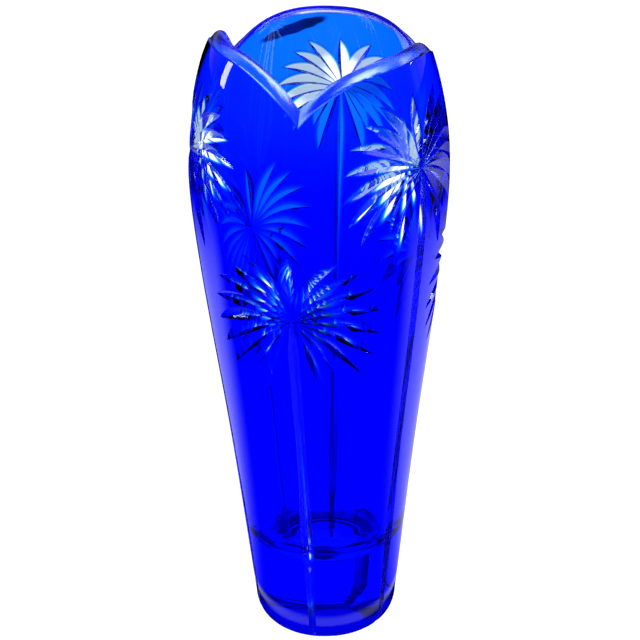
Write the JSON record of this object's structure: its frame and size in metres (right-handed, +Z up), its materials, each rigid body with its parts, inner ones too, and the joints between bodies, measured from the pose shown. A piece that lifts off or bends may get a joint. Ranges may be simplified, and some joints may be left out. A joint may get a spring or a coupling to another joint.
{
  "type": "cut crystal vase",
  "caption": "Tall tapering vase of thick clear crystal cased in cobalt blue, with a petal-shaped rim and cut palm motifs, for holding flowers.",
  "frame": {"origin": "centre of the foot, on the surface that the vase stands on", "axes": "+Z up along the vase's axis; -Y towards one of the three rim notches"},
  "size_m": [0.1186, 0.1186, 0.305],
  "materials": {
    "clear_crystal": "polished clear lead crystal, ground and polished cuts",
    "cobalt_glass": "fire-polished transparent cobalt blue"
  },
  "bodies": {
    "root": {"crystal_body": "clear_crystal", "cobalt_casing": "cobalt_glass"}
  },
  "joints": []
}
